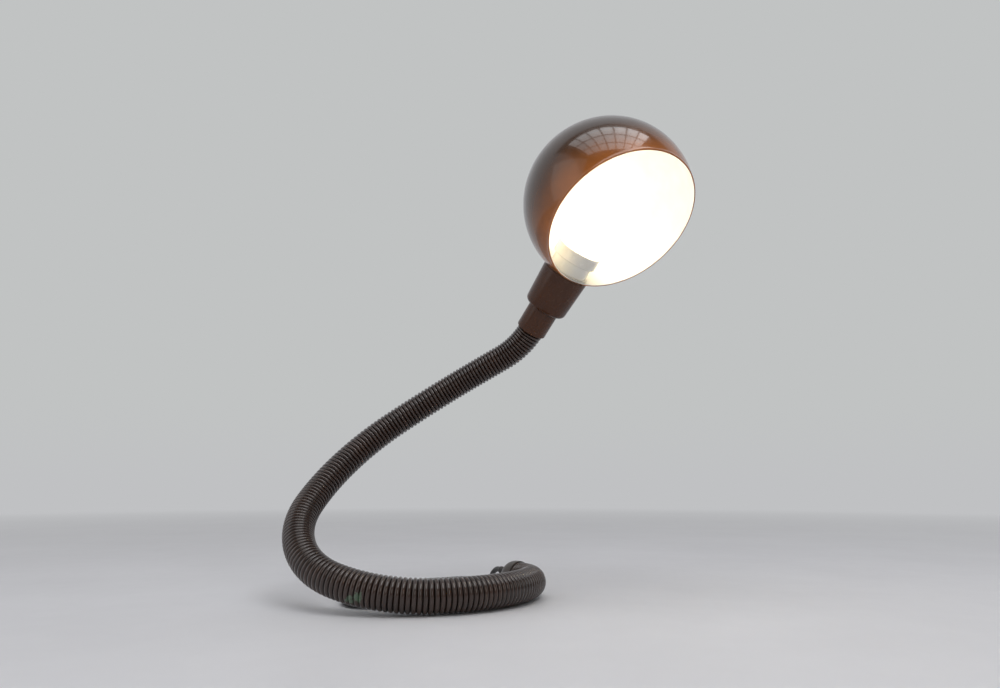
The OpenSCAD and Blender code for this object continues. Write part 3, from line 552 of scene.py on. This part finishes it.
def ribbed_skin(name, s0, s1, pitch):
    """The hose's skin from s0 to s1 with whole ribs about one pitch apart, as a plain mesh."""
    ribs = round((s1 - s0) / pitch)
    count = ribs * STEPS_A_RIB
    points = [hose_place(s0 + (s1 - s0) * i / count)[0] for i in range(count + 1)]
    line = line_object(name + "_line", points)
    swept = line.modifiers.new("ribs", "NODES")
    swept.node_group = RIB_TREE
    sockets = {item.name: item.identifier for item in RIB_TREE.interface.items_tree
               if item.in_out == "INPUT"}
    swept[sockets["Radius"]] = HOSE_D / 2 * MM
    swept[sockets["Rib depth"]] = RIB_DEPTH * MM
    swept[sockets["Rib pitch"]] = line_length(points) / ribs * MM
    swept[sockets["Sides"]] = SKIN_SIDES
    swept[sockets["Material"]] = HOSE_VINYL
    graph = bpy.context.evaluated_depsgraph_get()
    mesh = bpy.data.meshes.new_from_object(line.evaluated_get(graph))
    line.modifiers.remove(swept)
    bpy.data.objects.remove(line)
    rest_on_table(mesh)
    smooth(mesh, SKIN_SHARP)
    return link(bpy.data.objects.new(name, mesh))


# Each stretch of skin runs from the middle of one stiff piece of hose to the next.
# Its ribs lie closer where the bend presses them together.
HOSE_SKINS = [
    ("hose_skin_curl", TAIL_S, 0, 4.15, "foot_tail", "foot",
     ["hose_tail", "flex_tail", "hose_foot"]),
    ("hose_skin_lift", 0, 130, 4.15, "foot", "neck_riser", ["flex_riser", "hose_riser"]),
    ("hose_skin_swing", 130, 217.5, 3.75, "neck_riser", "neck_lower", ["flex_lower", "hose_lower"]),
    ("hose_skin_lean", 217.5, 302.5, 4.15, "neck_lower", "neck_middle",
     ["flex_middle", "hose_middle"]),
    ("hose_skin_sway", 302.5, 385, 4.05, "neck_middle", "neck_upper", ["flex_upper", "hose_upper"]),
    ("hose_skin_nod", 385, HOSE_SKIN_END, 3.65, "neck_upper", "head", ["flex_top", "hose_top"]),
]


def make_hose():
    for bend, (name, s0, s1, pitch, before, after, nodes) in zip(BENDS, HOSE_SKINS):
        skin = ribbed_skin(name, s0, s1, pitch)
        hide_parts(*nodes)
        tuple(hose_place(bend - FLEX_HALF)[0] * MM)
        tuple(hose_place(bend + FLEX_HALF)[0] * MM)
        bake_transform(skin)


make_hose()

# ---------------------------------------------------------------- end cap and strain relief
def spindle(point, way, toward=Vector((0, 0, 1))):
    side = (toward - way * toward.dot(way)).normalized()
    return point, side, way.cross(side), way


def piece_on(piece, body, slot, *nodes):
    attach(piece, body)
    if nodes:
        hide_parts(*nodes)
    return piece


def cap_arc(r, degrees):
    """Corners of an arc about the middle of the cap's dome."""
    return [(r * math.cos(math.radians(d)), CAP_RIM + r * math.sin(math.radians(d)), 0)
            for d in degrees]


def make_end_cap():
    wall, spigot_r, spigot = 2.4, 8.9, 4
    dome = cap_arc(CAP_R, range(0, 91, 6))
    hollow = cap_arc(CAP_R - wall, range(90, -1, -10))
    profile = [(spigot_r - wall, -spigot, 0.3), (spigot_r, -spigot, 0.8), (spigot_r, 0, 0.2),
               (CAP_R, 0, 0.9)]
    profile += dome[1:] + hollow + [(CAP_R - wall, wall, 0), (spigot_r - wall, wall, 0)]
    cap = lathe("end_cap_shell", rounded(profile), spindle(TAIL_POINT, CAP_WAY), [CAP_MOULDING])
    rest_on_table(cap.data)
    piece_on(cap, "foot_tail", "cap_plastic", "end_cap")


def make_strain_relief():
    """A tapered sleeve with rings, so that it bends with the cord."""
    start, end = CAP_R + 0.3, RELIEF_END
    bore = CORD_D / 2 + 0.05
    profile = [(bore, 10, 0), (5.5, 10, 0.3), (5.5, 11.8, 0.3), (4, 11.8, 0), (4, start, 0),
               (5.4, start, 0.5), (5.2, start + 2.4, 0.5)]
    rings = 5
    for i in range(rings):
        z = start + 3 + (end - start - 4) * i / rings
        r = 4.7 - 1.2 * i / rings
        profile += [(r - 0.8, z, 0.2), (r - 0.8, z + 0.9, 0.2), (r, z + 1.1, 0.4),
                    (r - 0.1, z + 2.8, 0.4)]
    profile += [(3.4, end, 0.4), (bore, end, 0.1)]
    relief = lathe("strain_relief_sleeve", rounded(profile), spindle(DOME_AT, RELIEF_WAY),
                   [PLUG_MOULDING], 48)
    piece_on(relief, "foot_tail", "cap_plastic", "strain_relief")


make_end_cap()
make_strain_relief()

# ---------------------------------------------------------------- head
OPEN_TURN, OPEN_ANGLE, OPEN_REACH = math.radians(-38.3), math.radians(98), 31.4
HEAD_REACH, SHADE_R, SHADE_WALL = 150.5, 82, 1.2
SLEEVE_LEN, SLEEVE_R = 28, 16
CUP_LOW_R, CUP_TOP_R, CUP_WALL, CUP_ROUND = 22.25, 24.25, 2, 5
NIPPLE_HOLE_R, SHADE_GAP = 5.5, 0.4
HOLDER_REACH, CONTACT_DEPTH = 31, 30
HOLDER_TOP = HEAD_REACH - SHADE_R + HOLDER_REACH
CONTACT_Z = HOLDER_TOP - CONTACT_DEPTH
BULB_LEN, BULB_R = 76, 22.5

HEAD_POINT, HEAD_WAY, _side, _rise = hose_place(NECK_LEN)
HEAD_SIDE = _side * math.cos(OPEN_TURN) + _rise * math.sin(OPEN_TURN)
HEAD = (HEAD_POINT, HEAD_SIDE, HEAD_WAY.cross(HEAD_SIDE), HEAD_WAY)
SHADE_AT = HEAD_POINT + HEAD_WAY * HEAD_REACH
OPEN_WAY = HEAD_SIDE * math.sin(OPEN_ANGLE) + HEAD_WAY * math.cos(OPEN_ANGLE)


def make_lacquer():
    """Dark brown gloss lacquer with a faint orange peel, and a painted glow of the bulb's light
    that turns it orange towards the rim.
    """
    finish = Finish("shade_lacquer", Specular_IOR_Level=0.35, Coat_Weight=0.55, Coat_Roughness=0.03)
    # Painted light: the orange towards the rim stands for the glow of the lit inside, not for the
    # paint.
    painted_rim_glow = finish.spread(finish.along(SHADE_AT, OPEN_WAY), -0.02, 0.0315, 0, 1)
    tone = finish.mix(finish.math("POWER", painted_rim_glow, 2.2), rgb(58, 36, 18), rgb(182, 106, 44))
    tone = finish.mix(finish.spread(finish.noise(30), 0.35, 0.7, 0, 0.35), tone, rgb(48, 30, 20))
    finish.set("Base Color", tone)
    finish.set("Roughness", finish.spread(finish.noise(90, 4), 0.3, 0.7, 0.16, 0.26))
    finish.bump(finish.noise(240, 2), 0.12, 0.00005)
    return finish.material


def make_enamel():
    """The white inside of the shade."""
    finish = Finish("white_enamel", Coat_Weight=0.2)
    finish.set("Base Color",
               finish.mix(finish.spread(finish.noise(55), 0.3, 0.7, 0, 1), rgb(240, 238, 230),
                          rgb(246, 244, 238)))
    finish.set("Roughness", finish.spread(finish.noise(150, 4), 0.3, 0.7, 0.36, 0.48))
    finish.bump(finish.noise(420, 3), 0.15, 0.00005)
    return finish.material


def make_bulb_glass():
    """The glass of the lit bulb, a little uneven in tone."""
    finish = Finish("lit_bulb_glass", Roughness=0.3, Emission_Strength=9)
    hot = finish.spread(finish.noise(40), 0.3, 0.7, 0, 1)
    finish.set("Base Color", finish.mix(hot, rgb(255, 246, 226), rgb(255, 250, 238)))
    finish.set("Emission Color", finish.mix(hot, (1.0, 0.86, 0.66, 1), (1.0, 0.9, 0.74, 1)))
    return finish.material


LACQUER = make_lacquer()
ENAMEL = make_enamel()
BULB_GLASS = make_bulb_glass()


def make_shade():
    bead = 0.9
    middle_r = SHADE_R - SHADE_WALL / 2
    rim_angle = math.acos(OPEN_REACH / middle_r)
    bead_at = Vector((middle_r * math.sin(rim_angle), OPEN_REACH))
    steps = 90
    first = rim_angle + 0.008
    outer = [Vector((SHADE_R * math.sin(a), SHADE_R * math.cos(a)))
             for a in [math.pi + (first - math.pi) * i / steps for i in range(steps + 1)]]
    start = math.atan2(*(outer[-1] - bead_at).yx)
    rim = [bead_at + Vector((math.cos(start + a), math.sin(start + a))) * bead
           for a in [math.radians(d) for d in range(20, 230, 15)]]
    inner_r = SHADE_R - SHADE_WALL
    inner = [Vector((inner_r * math.sin(a), inner_r * math.cos(a)))
             for a in [first + (math.pi - first) * i / steps for i in range(steps + 1)]]
    profile = outer + rim + inner
    slots = [0] * (len(outer) + 8) + [1] * (len(profile) - len(outer) - 8)
    shade = lathe("ball_shade", profile, spindle(SHADE_AT, OPEN_WAY), [LACQUER, ENAMEL], 160,
                  slots, 60)
    piece_on(shade, "head", "shade_lacquer", "shade")


def make_neck_fittings():
    """The sleeve on the hose's end, and the cup that the ball sits in."""
    bore_r, floor = 14.65, 3
    low = SLEEVE_LEN
    sleeve = [(bore_r, 0, 0.2), (SLEEVE_R, 0, 0.7), (SLEEVE_R, low, 0.2), (NIPPLE_HOLE_R, low, 0.1),
              (NIPPLE_HOLE_R, low - floor, 0.1), (bore_r, low - floor, 0.2)]
    piece_on(lathe("smooth_sleeve", rounded(sleeve), HEAD, [DARK_MOULDING]), "head",
             "head_plastic", "neck_sleeve")
    inner_top_r = CUP_TOP_R - CUP_WALL
    top_z, inner_z = (HEAD_REACH - math.sqrt((SHADE_R + SHADE_GAP) ** 2 - r ** 2)
                      for r in (CUP_TOP_R, inner_top_r))
    cup = [(NIPPLE_HOLE_R, low, 0.1), (CUP_LOW_R, low, CUP_ROUND), (CUP_TOP_R, top_z, 0.3),
           (inner_top_r, inner_z, 0.3), (CUP_LOW_R - CUP_WALL, low + floor, 3),
           (NIPPLE_HOLE_R, low + floor, 0.1)]
    piece_on(lathe("neck_cup_shell", rounded(cup), HEAD, [DARK_MOULDING]), "head",
             "head_plastic", "neck_cup")


def make_holder():
    """The lampholder: a foot through the shade, a waist, and a collar round its mouth."""
    foot_r, waist_r, collar_r, bore_r, mouth_r, nipple_r = 18.5, 20, 23, 14, 17, 5.05
    foot_z, shoulder_z = SLEEVE_LEN + 12, HEAD_REACH - SHADE_R + 6
    floor_z, collar_z = foot_z + 6, HOLDER_TOP - 12.5
    body = [(nipple_r, foot_z, 0.1), (foot_r, foot_z, 0.8), (foot_r, shoulder_z, 0.1),
            (waist_r, shoulder_z, 0.5), (waist_r, collar_z, 0.3), (collar_r, collar_z, 1.2),
            (collar_r, HOLDER_TOP, 1.6), (mouth_r, HOLDER_TOP, 1.0), (bore_r, HOLDER_TOP - 3, 0.8),
            (bore_r, floor_z, 0.2), (nipple_r, floor_z, 0.1)]
    piece_on(lathe("lampholder_body", rounded(body), HEAD, [WHITE_MOULDING]), "head",
             "holder_white", "lampholder")


def make_threaded_cap():
    """The bulb's screw cap, with a true rolled thread."""
    point, side, rise, way = HEAD
    pitch, depth, core_r = 3.6, 0.65, 12.45
    low, high = CONTACT_Z + 3.2, CONTACT_Z + 26.9
    sides, rings = 72, 90
    wall = []
    for i in range(rings + 1):
        z = low + (high - low) * i / rings
        fade = max(0, min(1, (z - low) / 1.5, (high - z) / 7))
        ring = []
        for k in range(sides):
            a = TAU * k / sides
            turn = math.cos(TAU * (z / pitch - k / sides))
            r = core_r + depth * fade * turn * 0.9
            ring.append(point + way * z + (side * math.cos(a) + rise * math.sin(a)) * r)
        wall.append(ring)
    cap = finish_mesh("bulb_screw_cap", solid_from_rings(wall, False), [BULB_METAL], 50)
    piece_on(cap, "head", "bulb_metal", "bulb_cap")


def make_bulb():
    """The bulb: a round globe on a short neck, and its cap."""
    neck_r, steps, first = 11.6, 40, math.radians(148)
    low = CONTACT_Z + 21
    middle = CONTACT_Z - 0.2 + BULB_LEN - BULB_R
    globe = [(0, low), (neck_r, low), (neck_r, low + 7.5), (neck_r + 1, low + 10)]
    globe += [(BULB_R * math.sin(a), middle + BULB_R * math.cos(a))
              for a in [first * (1 - i / steps) for i in range(steps + 1)]]
    piece_on(lathe("bulb_globe", smooth_profile(globe), HEAD, [BULB_GLASS], sharp=60), "head",
             "bulb_glass", "bulb_glass")
    make_threaded_cap()


def smooth_profile(points):
    """Eases the joins of a profile, keeping its ends where they are."""
    line = [Vector(p) for p in points]
    for _ in range(3):
        line = [line[0]] + [line[1]] + [line[i] * 0.5 + (line[i - 1] + line[i + 1]) * 0.25
                                        for i in range(2, len(line) - 1)] + [line[-1]]
    return line


make_shade()
make_neck_fittings()
make_holder()
make_bulb()

# ---------------------------------------------------------------- switch, plug and coil tie
def plate_ring(length, width, radius, z, sides=10):
    """Outline of a plate with round corners, about the origin."""
    ring = []
    for cx, cy, start in ((1, 1, 0), (-1, 1, 90), (-1, -1, 180), (1, -1, 270)):
        for i in range(sides + 1):
            a = math.radians(start + 90 * i / sides)
            ring.append(Vector((cx * (length / 2 - radius) + radius * math.cos(a),
                                cy * (width / 2 - radius) + radius * math.sin(a), z)))
    return ring


def eased_plate(length, width, radius, layers, place):
    """A plate that lies along Y, built of outlines: layers are (z, inset)."""
    rings = [[place + Vector((-p.y, p.x, p.z)) for p in
              plate_ring(length - 2 * inset, width - 2 * inset, max(0.4, radius - inset), z)]
             for z, inset in layers]
    return solid_from_rings(rings, False)


def carve(piece, cutter_mesh):
    """Cuts a cutter out of a piece."""
    cutter = link(bpy.data.objects.new("cutter", cutter_mesh))
    cut = piece.modifiers.new("cut", "BOOLEAN")
    cut.operation = "DIFFERENCE"
    cut.solver = "EXACT"
    cut.object = cutter
    graph = bpy.context.evaluated_depsgraph_get()
    mesh = bpy.data.meshes.new_from_object(piece.evaluated_get(graph))
    piece.modifiers.remove(cut)
    old = piece.data
    piece.data = mesh
    bpy.data.meshes.remove(old)
    bpy.data.objects.remove(cutter)


def make_switch():
    split = SWITCH_LOW_H
    base_layers = [(0, 1.0), (0.3, 0.4), (1.0, 0), (split - 0.5, 0), (split - 0.15, 0.35)]
    base = finish_mesh("switch_lower_shell",
                       eased_plate(SWITCH_LEN, SWITCH_W, SWITCH_ROUND, base_layers, SWITCH_AT),
                       [SWITCH_MOULDING], 50)
    piece_on(base, "foot_tail", "switch_plastic", "switch_base")
    top = split + SWITCH_TOP_H
    cover_layers = [(split + 0.15, 0.35), (split + 0.5, 0), (top - 3, 0), (top - 1.9, 0.25),
                    (top - 1.0, 0.85), (top - 0.4, 1.8), (top - 0.05, 3.2), (top, 4.2)]
    cover = finish_mesh("switch_upper_shell",
                        eased_plate(SWITCH_LEN, SWITCH_W, SWITCH_ROUND, cover_layers, SWITCH_AT),
                        [SWITCH_MOULDING], 50)
    slot = eased_plate(20.2, 10.6, 0.6, [(split + 1.5, 0), (top + 2, 0)], SWITCH_AT)
    carve(cover, slot)
    smooth(cover.data, 35)
    piece_on(cover, "foot_tail", "switch_plastic", "switch_cover")


def make_plug():
    """A flat moulded plug, narrow at the cord and wide at the pins."""
    sections = [(-55, 3.4, 3.4), (-54.4, 3.8, 3.8), (-50, 4.2, 4.1), (-40, 5.0, 4.8),
                (-36.5, 6.0, 5.4), (-33, 8.2, 5.9), (-29, 10.8, 6.2), (-24, 13.4, 6.5),
                (-18, 15.8, 6.7), (-12, 17.1, 6.8), (-6, 17.4, 6.8), (-2.5, 17.2, 6.75),
                (-1.0, 16.6, 6.4), (-0.2, 15.8, 5.8), (0, 15.0, 5.2)]
    sides = 64
    rings = []
    for y, half_w, half_h in sections:
        power = 0.62 + 0.38 * min(1, max(0, (-y - 30) / 12))
        ring = []
        for k in range(sides):
            a = TAU * k / sides
            x = math.copysign(abs(math.cos(a)) ** power, math.cos(a)) * half_w
            z = math.copysign(abs(math.sin(a)) ** power, math.sin(a)) * half_h
            ring.append(Vector((PLUG_AT.x + x, PLUG_AT.y + y, PLUG_Z + z)))
        rings.append(ring)
    body = finish_mesh("plug_moulding_body", solid_from_rings(rings, False), [PLUG_MOULDING], 50)
    rest_on_table(body.data)
    piece_on(body, "foot_tail", "plug_plastic", "plug_body")


def make_coil_tie():
    """A flat strap round one side of the coil."""
    inner, outer, top, strap = 17.0, 42.2, 11.2, 7
    thick = 0.5
    out = Vector((math.cos(math.radians(160)), math.sin(math.radians(160)), 0))
    aside = Vector((-out.y, out.x, 0))
    loop = rounded([(inner, 0.05, 2.2), (outer, 0.05, 2.2), (outer, 8.6, 3), (outer - 6, top, 3),
                    (inner + 6, top, 3), (inner, 8.6, 3)])
    count = len(loop)
    rings = []
    for i, p in enumerate(loop):
        way = (loop[(i + 1) % count] - loop[i - 1]).normalized()
        off = Vector((way.y, -way.x)) * thick / 2
        corners = []
        for across, shift in ((-1, -1), (1, -1), (1, 1), (-1, 1)):
            q = p + off * shift
            corners.append(COIL_AT + out * q.x + aside * across * strap / 2
                           + Vector((0, 0, max(q.y, 0.0))))
        rings.append(corners)
    tie = finish_mesh("coil_tie", solid_from_rings(rings, True), [PLUG_MOULDING], 30)
    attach(tie, "foot_tail")


make_switch()
make_plug()
make_coil_tie()

# ---------------------------------------------------------------- finishes of the solids that stay
STRETCHES = ("tail", "foot", "riser", "lower", "middle", "upper", "top")
KEPT = {
    CORE_STEEL: ["core_" + n for n in STRETCHES],
    CORD_SHEATH: ["lead_" + n for n in STRETCHES],
    FITTING_STEEL: ["neck_ferrule", "nipple_tube", "lock_nut", "terminal_screws", "rocker_pin",
                    "switch_screws"],
    SEAT_MOULDING: ["shade_seat"],
    CONTACT_BRASS: ["screw_shell", "centre_contact", "switch_contacts"],
    BULB_METAL: ["bulb_contact", "bulb_filament"],
    PLUG_MOULDING: ["bulb_insulator"],
    WHITE_MOULDING: ["bulb_stem"],
    ROCKER_MOULDING: ["switch_rocker"],
    PIN_NICKEL: ["plug_pins"],
}


def finish_kept_solids():
    for material, nodes in KEPT.items():
        for node in nodes:
            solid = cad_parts[node]
            solid.data.materials.clear()
            solid.data.materials.append(material)


finish_kept_solids()

# ---------------------------------------------------------------- stage, light and world
FAR_FLOOR, WALL = rgb(192, 193, 195), rgb(193, 195, 195)
ROOM_DIM, ROOM_PALE = (0.15, 0.14, 0.13, 1), (0.58, 0.59, 0.61, 1)
FLOOR_HALF = 6.0
FLOOR_DROP = 0.0004


def make_stage():
    """A pale floor, which the camera sees pass into the wall's tone far from the lamp."""
    finish = Finish("pale_floor", Specular_IOR_Level=0.2)
    finish.set("Base Color",
               finish.mix(finish.spread(finish.noise(6, 4), 0.3, 0.7, 0, 1), rgb(214, 214, 217),
                          rgb(219, 219, 222)))
    finish.set("Roughness", finish.spread(finish.noise(40, 4), 0.3, 0.7, 0.5, 0.6))
    far = finish.spread(finish.distance((0, 0, 0)), 0.6, 2.6, 0, 1)
    seen = finish.node("ShaderNodeLightPath").outputs["Is Camera Ray"]
    haze = finish.node("ShaderNodeEmission", [("Color", FAR_FLOOR)])
    either = finish.node("ShaderNodeMixShader", [("Fac", finish.math("MULTIPLY", far, seen)),
                                                 (1, finish.shader.outputs[0]),
                                                 (2, haze.outputs[0])])
    finish.links.new(either.outputs[0], finish.nodes["Material Output"].inputs["Surface"])
    mesh = bpy.data.meshes.new("floor")
    corners = [(x * FLOOR_HALF, y * FLOOR_HALF, 0) for x, y in ((-1, -1), (1, -1), (1, 1), (-1, 1))]
    mesh.from_pydata(corners, [], [(0, 1, 2, 3)])
    mesh.materials.append(finish.material)
    floor = link(bpy.data.objects.new("floor", mesh))
    floor.location.z = -FLOOR_DROP


def area_light(name, at, look_at, size, power, colour=(1, 1, 1)):
    light = bpy.data.lights.new(name, "AREA")
    light.shape = "RECTANGLE"
    light.size, light.size_y = size
    light.energy = power
    light.color = colour
    holder = link(bpy.data.objects.new(name, light))
    holder.location = at
    holder.rotation_euler = (Vector(look_at) - Vector(at)).to_track_quat("-Z", "Y").to_euler()


def make_lights():
    """A barred roof window above, brighter at its right, with broad soft fill."""
    across, along = 7, 3
    for i in range(across):
        for j in range(along):
            x = 0.16 + (i - (across - 1) / 2) * 0.27
            y = -0.62 + (j - (along - 1) / 2) * 0.46
            power = 0.55 + 0.13 * i
            area_light(f"window_pane_{i}_{j}", (x, y, 1.9), (x, y, 0), (0.235, 0.41), power,
                       (0.97, 0.98, 1))
    area_light("left_fill", (-2.6, -1.4, 1.5), (0, 0, 0.2), (2.6, 2.6), 10, (1, 0.99, 0.97))
    area_light("front_fill", (1.4, -3.0, 1.6), (0, 0, 0.2), (2.2, 1.6), 16, (1, 0.99, 0.97))


def make_world():
    """A room, pale behind the lamp and at its left, dim elsewhere.

    The camera itself sees a pale wall.
    """
    world = bpy.data.worlds.new("room")
    bpy.context.scene.world = world
    world.use_nodes = True
    tree = world.node_tree
    tree.nodes.clear()

    def add(kind, sources=(), **settings):
        return add_node(tree, kind, sources, **settings)

    axes = add("ShaderNodeSeparateXYZ",
               [("Vector", add("ShaderNodeTexCoord").outputs["Generated"])]).outputs

    def ramp(axis, low, high):
        return add("ShaderNodeMapRange",
                   [("From Min", low), ("From Max", high), ("Value", axes[axis])],
                   interpolation_type="SMOOTHSTEP").outputs["Result"]

    def mixed(share, a, b):
        return add("ShaderNodeMix", [(0, share), (6, a), (7, b)], data_type="RGBA").outputs[2]

    pale = add("ShaderNodeMath", [(0, ramp("Y", 0.13, 0.21)), (1, ramp("X", -0.59, -0.67))],
               operation="MAXIMUM").outputs[0]
    room = add("ShaderNodeBackground", [("Color", mixed(pale, ROOM_DIM, ROOM_PALE))])
    wall = add("ShaderNodeBackground", [("Color", mixed(ramp("Z", -0.02, 0.12), FAR_FLOOR, WALL))])
    seen = add("ShaderNodeLightPath").outputs["Is Camera Ray"]
    either = add("ShaderNodeMixShader",
                 [("Fac", seen), (1, room.outputs[0]), (2, wall.outputs[0])])
    add("ShaderNodeOutputWorld", [("Surface", either.outputs[0])])


make_stage()
make_lights()
make_world()
bpy.context.scene.view_settings.view_transform = "Standard"
